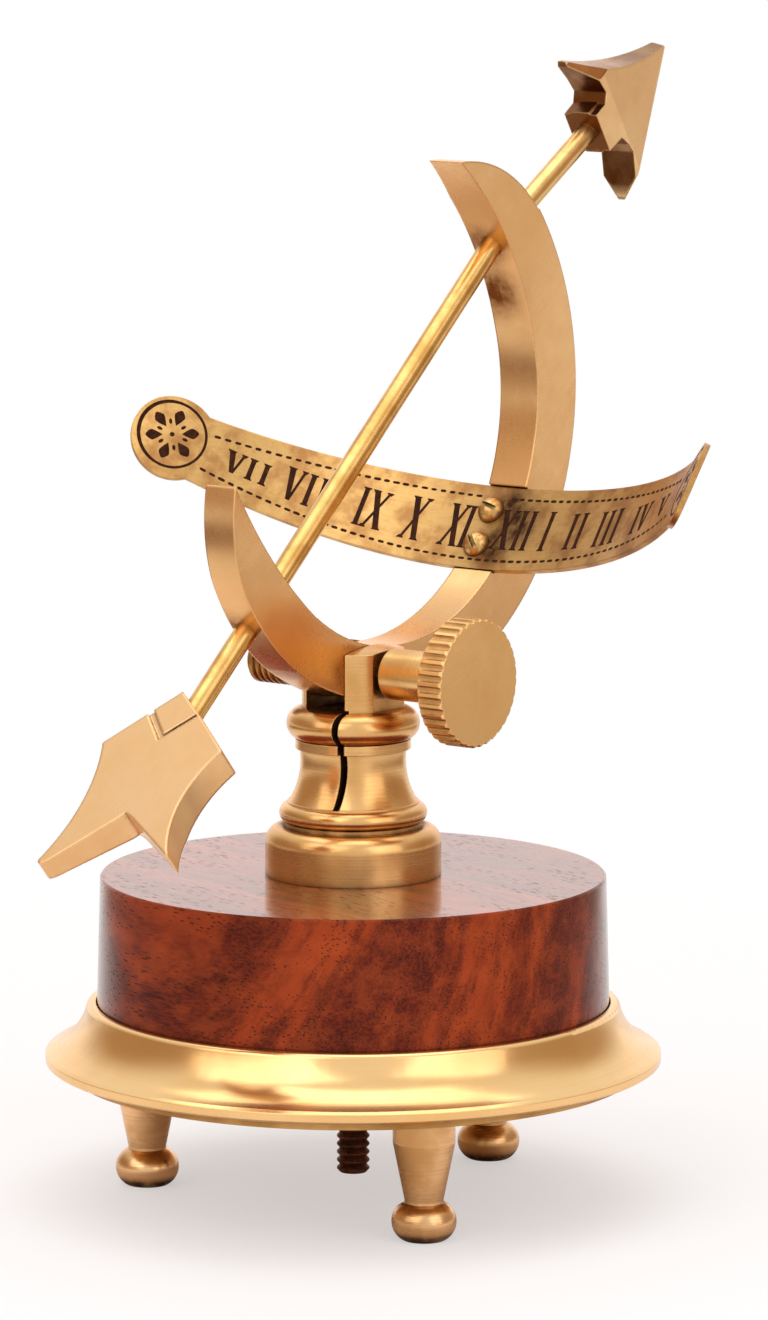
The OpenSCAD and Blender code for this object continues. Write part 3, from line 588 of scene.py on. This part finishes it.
def letter_v(along, top, foot):
    """A thick stroke and a thin one that meet at the foot."""
    half_wide = 1.7
    left, right = along - half_wide, along + half_wide
    stroke((left, top), (along + 0.1, foot), 1.65, 1.15)
    stroke((right, top), (along + 0.3, foot), 0.75, 0.65, thin_stroke_lift)
    serif(left, top, 2.3, True)
    serif(right, top, 1.7, True)


def letter_x(along, top, foot):
    """A thick stroke crossed by a thin one that reaches a little wider."""
    half_wide = 1.75
    thick, thin = 1.6, 0.75
    left, right = along - half_wide, along + half_wide
    thin_left, thin_right = left - 0.3, right + 0.1
    stroke((left, top), (right, foot), thick, thick)
    stroke((thin_right, top), (thin_left, foot), thin, thin, thin_stroke_lift)
    serif(left, top, 2.3, True)
    serif(thin_right, top, 1.9, True)
    serif(thin_left, foot, 1.9, False)
    serif(right, foot, 2.3, False)


# Each hour from VII to V has its top and foot on the strip, and its letters with their places along it
hours = [
    (-2.1, 3.8, [(letter_v, -71.4), (letter_i, -67.0), (letter_i, -63.3)]),
    (-3.9, 5.0, [(letter_v, -55.6), (letter_i, -51.2), (letter_i, -47.9), (letter_i, -44.6)]),
    (-5.0, 5.8, [(letter_i, -37.0), (letter_x, -32.8)]),
    (-6.0, 6.2, [(letter_x, -21.9)]),
    (-6.1, 6.0, [(letter_x, -10.7), (letter_i, -6.9)]),
    (-6.0, 5.5, [(letter_x, 4.6), (letter_i, 9.2), (letter_i, 12.3)]),
    (-5.9, 5.6, [(letter_i, 18.5)]),
    (-4.9, 5.5, [(letter_i, 27.3), (letter_i, 30.8)]),
    (-4.3, 5.9, [(letter_i, 38.6), (letter_i, 42.0), (letter_i, 45.5)]),
    (-3.0, 5.1, [(letter_i, 54.6), (letter_v, 59.0)]),
    (-2.1, 3.8, [(letter_v, 69.4)]),
]
for top, foot, letters in hours:
    for letter, along in letters:
        letter(along, top, foot)

# The dashes of a border line are as long and as thick as the graver happened to cut them.
# Each line has its place down the strip, its bend and half the length of its bare stretch at the ring.
random.seed(11)
line_end = 78.0
bare_at = -2.0
dash_spacing = 2.62
dash_half = 0.84
dash_thick = 0.36
dash_outline = ((-1.0, 0.45), (-0.7, 0.95), (0.0, 1.05), (0.7, 0.95), (1.0, 0.45))
for middle_down, bend, bare_half in ((-9.15, 0.00091, 3.4), (8.85, -0.00045, 0.0)):
    along = -line_end
    while along < line_end:
        down = middle_down + bend * along * along
        slope = 2 * bend * along
        half = dash_half + random.uniform(-0.12, 0.12)
        thick = dash_thick + random.uniform(-0.04, 0.04)
        if abs(along - bare_at) >= bare_half:
            spots = [(along + half * share, down + slope * half * share, thick * width)
                     for share, width in dash_outline]
            wax_strip([(x, y - wide) for x, y, wide in spots], [(x, y + wide) for x, y, wide in spots])
        along += dash_spacing + random.uniform(-0.08, 0.08)


def wax_round(middle, outline):
    """A closed inlay with an outline around a middle point."""
    count = len(outline)
    top = len(wax_points)
    under = top + count + 1
    for level in (wax_lift, wax_sink):
        wax_points.append(on_band(*middle, level))
        wax_points.extend(on_band(along, down, level) for along, down in outline)
    for k in range(1, count + 1):
        after = k % count + 1
        wax_faces.append((top, top + after, top + k))
        wax_faces.append((under, under + k, under + after))
        wax_faces.append((top + k, top + after, under + after, under + k))


def around(middle, reach, turn):
    """The point at a reach and a turn from a middle point."""
    return (middle[0] + reach * math.cos(turn), middle[1] + reach * math.sin(turn))


def leaf(middle, turn, outline, heart):
    """An inlay whose outline is given along and across a ray from the middle of a rosette."""
    ray = (math.cos(turn), math.sin(turn))
    wax_round(around(middle, heart, turn),
              [(middle[0] + out * ray[0] - over * ray[1], middle[1] + out * ray[1] + over * ray[0])
               for out, over in outline])


petal_side = [(3.3, 0.5), (4.2, 1.0), (5.0, 1.35), (5.5, 1.38), (6.2, 0.95), (6.9, 0.25)]
petal = [(2.5, 0.0)] + petal_side + [(out, -over) for out, over in reversed(petal_side)]
petal_heart = 5.2
seed_heart = 3.5
seed = [(seed_heart + 0.75 * math.cos(math.radians(turn)), 0.42 * math.sin(math.radians(turn)))
        for turn in range(0, 360, 36)]
rim_reach = 8.75
dot_reach = 0.62
rosette_along = 88.7
rosette_down = 1.0
# The circle round a rosette is cut thicker on the side away from the ring
for end, thick_at in ((-1, math.pi), (1, 0.0)):
    middle = (end * rosette_along, rosette_down)
    inner, outer = [], []
    for degrees in range(0, 361, 5):
        turn = math.radians(degrees)
        thick = 0.34 + 0.16 * max(0.0, math.cos(turn - thick_at))
        inner.append(around(middle, rim_reach - thick, turn))
        outer.append(around(middle, rim_reach + thick, turn))
    wax_strip(inner, outer)
    wax_round(middle, [around(middle, dot_reach, math.radians(turn)) for turn in range(0, 360, 30)])
    for seed_turn in range(0, 360, 60):
        petal_turn = seed_turn + 30 + random.uniform(-2, 2)
        leaf(middle, math.radians(petal_turn), petal, petal_heart)
        seed_turn += random.uniform(-3, 3)
        leaf(middle, math.radians(seed_turn), seed, seed_heart)

wax_mesh = bpy.data.meshes.new("engraving_wax")
wax_mesh.from_pydata([tuple(point) for point in wax_points], [], wax_faces)
wax_mesh.validate()
engraving = bpy.data.objects.new("engraving_wax", wax_mesh)
bpy.context.scene.collection.objects.link(engraving)

wax, wax_tree, wax_shader, wax_place = blank_finish("dark_brown_wax")
wax_cloud = blotches(wax_tree, wax_place, 700.0, 4.0, 0.6)
wax_colour = blend(wax_tree, spread(wax_tree, wax_cloud, 0.35, 0.7),
                   shade(40, 17, 6), shade(68, 34, 15))
wax_tree.links.new(wax_colour, wax_shader.inputs["Base Color"])
wax_tree.links.new(spread(wax_tree, wax_cloud, 0.3, 0.7, 0.45, 0.7), wax_shader.inputs["Roughness"])
wax_tree.links.new(relief(wax_tree, wax_cloud, 0.5, 0.00005), wax_shader.inputs["Normal"])
wax_shader.inputs["Specular IOR Level"].default_value = 0.08
engraving.data.materials.append(wax)
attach(engraving, "dial")

# Studio
# White table, plain soft lamps and the camera where the photo was taken from.
# The room is light ahead, behind and above and brown at both sides, which gives the brass its bands.

camera_turn = math.radians(-52.0)
picture_right = (math.cos(camera_turn), math.sin(camera_turn), 0.0)
picture_away = (-math.sin(camera_turn), math.cos(camera_turn), 0.0)
pure_white = (1.0, 1.0, 1.0, 1.0)
room_strength = 0.95


def room_light(tree, way):
    """Light of the room by direction: white ahead and behind, brown and darker at both sides."""
    left_to_right = add(tree, "MapRange", {}, {"Value": toward(tree, way, picture_right),
                                               "From Min": -1.0}).outputs["Result"]
    walls = add(tree, "ValToRGB", {}, {0: left_to_right})
    left_side = ((0.0, (0.46, 0.31, 0.20)), (0.11, (0.50, 0.35, 0.23)), (0.26, (1.04, 1.02, 1.0)))
    middle = ((0.50, (0.98, 0.97, 0.96)),)
    right_side = ((0.76, (1.04, 1.03, 1.01)), (0.88, (0.56, 0.42, 0.30)), (1.0, (0.50, 0.36, 0.25)))
    stops = left_side + middle + right_side
    ramp = walls.color_ramp
    while len(ramp.elements) < len(stops):
        ramp.elements.new(0.5)
    for stop, (spot, colour) in zip(ramp.elements, stops):
        stop.position = spot
        stop.color = colour + (1.0,)
    return walls.outputs["Color"]


def mix_shaders(tree, amount, first, second):
    """Shader between the first and the second, by an amount from 0 to 1."""
    return add(tree, "MixShader", {}, {0: amount, 1: first.outputs[0], 2: second.outputs[0]})


def direction(tree, place):
    """The direction of each place as seen from the middle."""
    return add(tree, "VectorMath", {"operation": "NORMALIZE"}, {0: place}).outputs[0]


table_half = 12
table_mesh = bpy.data.meshes.new("white_table")
table_mesh.from_pydata([(-table_half, -table_half, 0), (table_half, -table_half, 0),
                        (table_half, table_half, 0), (-table_half, table_half, 0)], [], [(0, 1, 2, 3)])
table = bpy.data.objects.new("white_table", table_mesh)
bpy.context.scene.collection.objects.link(table)

white, white_tree, white_shader, white_place = blank_finish("white_table_card")
white_colour = blend(white_tree, blotches(white_tree, white_place, 3.0, 2.0),
                     shade(239, 233, 232), shade(235, 228, 228))
white_tree.links.new(white_colour, white_shader.inputs["Base Color"])
white_shader.inputs["Roughness"].default_value = 0.8
white_shader.inputs["Specular IOR Level"].default_value = 0.1

# For the camera the card fades to pure white away from the base
paths = add(white_tree, "LightPath")
from_middle = add(white_tree, "VectorMath", {"operation": "LENGTH"}, {0: white_place}).outputs["Value"]
glow = add(white_tree, "Emission", {}, {"Color": pure_white, "Strength": 1.0})
faded_share = spread(white_tree, from_middle, 0.12, 0.50, 0.50, 1.0)
faded = mix_shaders(white_tree, faded_share, white_shader, glow)
seen = mix_shaders(white_tree, paths.outputs["Is Camera Ray"], white_shader, faded)

# For glossy rays the card glows as a painted reflection: a white floor with a belt in the room's own
# colours, mirrored in the brass.
belt_middle = (-0.12, 0.15, 0.0)
belt = product(white_tree, spread(white_tree, from_middle, 0.36, 0.50),
               spread(white_tree, distance(white_tree, white_place, belt_middle), 1.15, 0.92))
belt_light = room_light(white_tree, direction(white_tree, white_place))
belt_colour = add(white_tree, "Gamma", {}, {"Color": belt_light, "Gamma": 2.2}).outputs[0]
floor_colour = blend(white_tree, belt, (1.0, 0.98, 0.96, 1.0), belt_colour)
floor_glow = add(white_tree, "Emission", {}, {"Color": floor_colour, "Strength": room_strength})
mirrored_share = product(white_tree, paths.outputs["Is Glossy Ray"],
                         spread(white_tree, from_middle, 0.10, 0.32, 0.0, 0.9))
mirrored = mix_shaders(white_tree, mirrored_share, seen, floor_glow)
white_end = next(node for node in white_tree.nodes if node.type == "OUTPUT_MATERIAL")
white_tree.links.new(mirrored.outputs[0], white_end.inputs["Surface"])
table.data.materials.append(white)
table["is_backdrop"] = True

room = bpy.data.worlds.new("studio_room")
bpy.context.scene.world = room
room.use_nodes = True
room_tree = room.node_tree
room_tree.nodes.clear()
room_end = add(room_tree, "OutputWorld")
way = direction(room_tree, add(room_tree, "TexCoord").outputs["Generated"])
height = add(room_tree, "SeparateXYZ", {}, {0: way}).outputs["Z"]
ahead = spread(room_tree, toward(room_tree, way, picture_away), 0.75, 0.95)
walls = blend(room_tree, ahead, room_light(room_tree, way), (1.36, 1.20, 1.15, 1.0))
walls_and_ceiling = blend(room_tree, spread(room_tree, height, 0.35, 0.85, 0.0, 0.85),
                          walls, (0.98, 0.98, 0.99, 1.0))
backdrop = add(room_tree, "Background", {}, {"Color": pure_white, "Strength": 1.0})
surroundings = add(room_tree, "Background", {}, {"Color": walls_and_ceiling, "Strength": room_strength})
to_camera = add(room_tree, "LightPath").outputs["Is Camera Ray"]
room_tree.links.new(mix_shaders(room_tree, to_camera, surroundings, backdrop).outputs[0],
                    room_end.inputs["Surface"])


def soft_lamp(name, where, aim, size, power):
    """A rectangular lamp of a size in metres and a power in watts, turned to a point."""
    lamp = bpy.data.lights.new(name, "AREA")
    lamp.shape = "RECTANGLE"
    lamp.size, lamp.size_y = size
    lamp.energy = power
    holder = bpy.data.objects.new(name, lamp)
    holder.location = where
    holder.rotation_euler = (Vector(aim) - Vector(where)).to_track_quat("-Z", "Y").to_euler()
    bpy.context.scene.collection.objects.link(holder)


soft_lamp("lamp_front_left", where=(-1.35, 0.15, 1.05), aim=(0, 0, 0.14), size=(1.6, 1.3), power=7.5)
soft_lamp("lamp_front_right", where=(-0.15, -1.5, 0.75), aim=(0, 0, 0.14), size=(1.2, 1.3), power=5.0)
soft_lamp("lamp_above", where=(0.1, 0.1, 1.6), aim=(0, 0, 0.1), size=(1.5, 1.5), power=9.0)

camera_data = bpy.data.cameras.new("photographer")
camera_data.sensor_fit = "VERTICAL"
camera_data.sensor_height = 24.0
camera_data.lens = 121.64
camera_data.shift_x = 0.02318
camera_data.clip_end = 60.0
camera = bpy.data.objects.new("photographer", camera_data)
camera.location = (-1.2608, -0.9851, 0.3717)
camera.rotation_euler = (math.radians(81.47), 0.0, camera_turn)
bpy.context.scene.collection.objects.link(camera)
bpy.context.scene.camera = camera
bpy.context.scene.view_settings.view_transform = "Standard"

low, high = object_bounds()
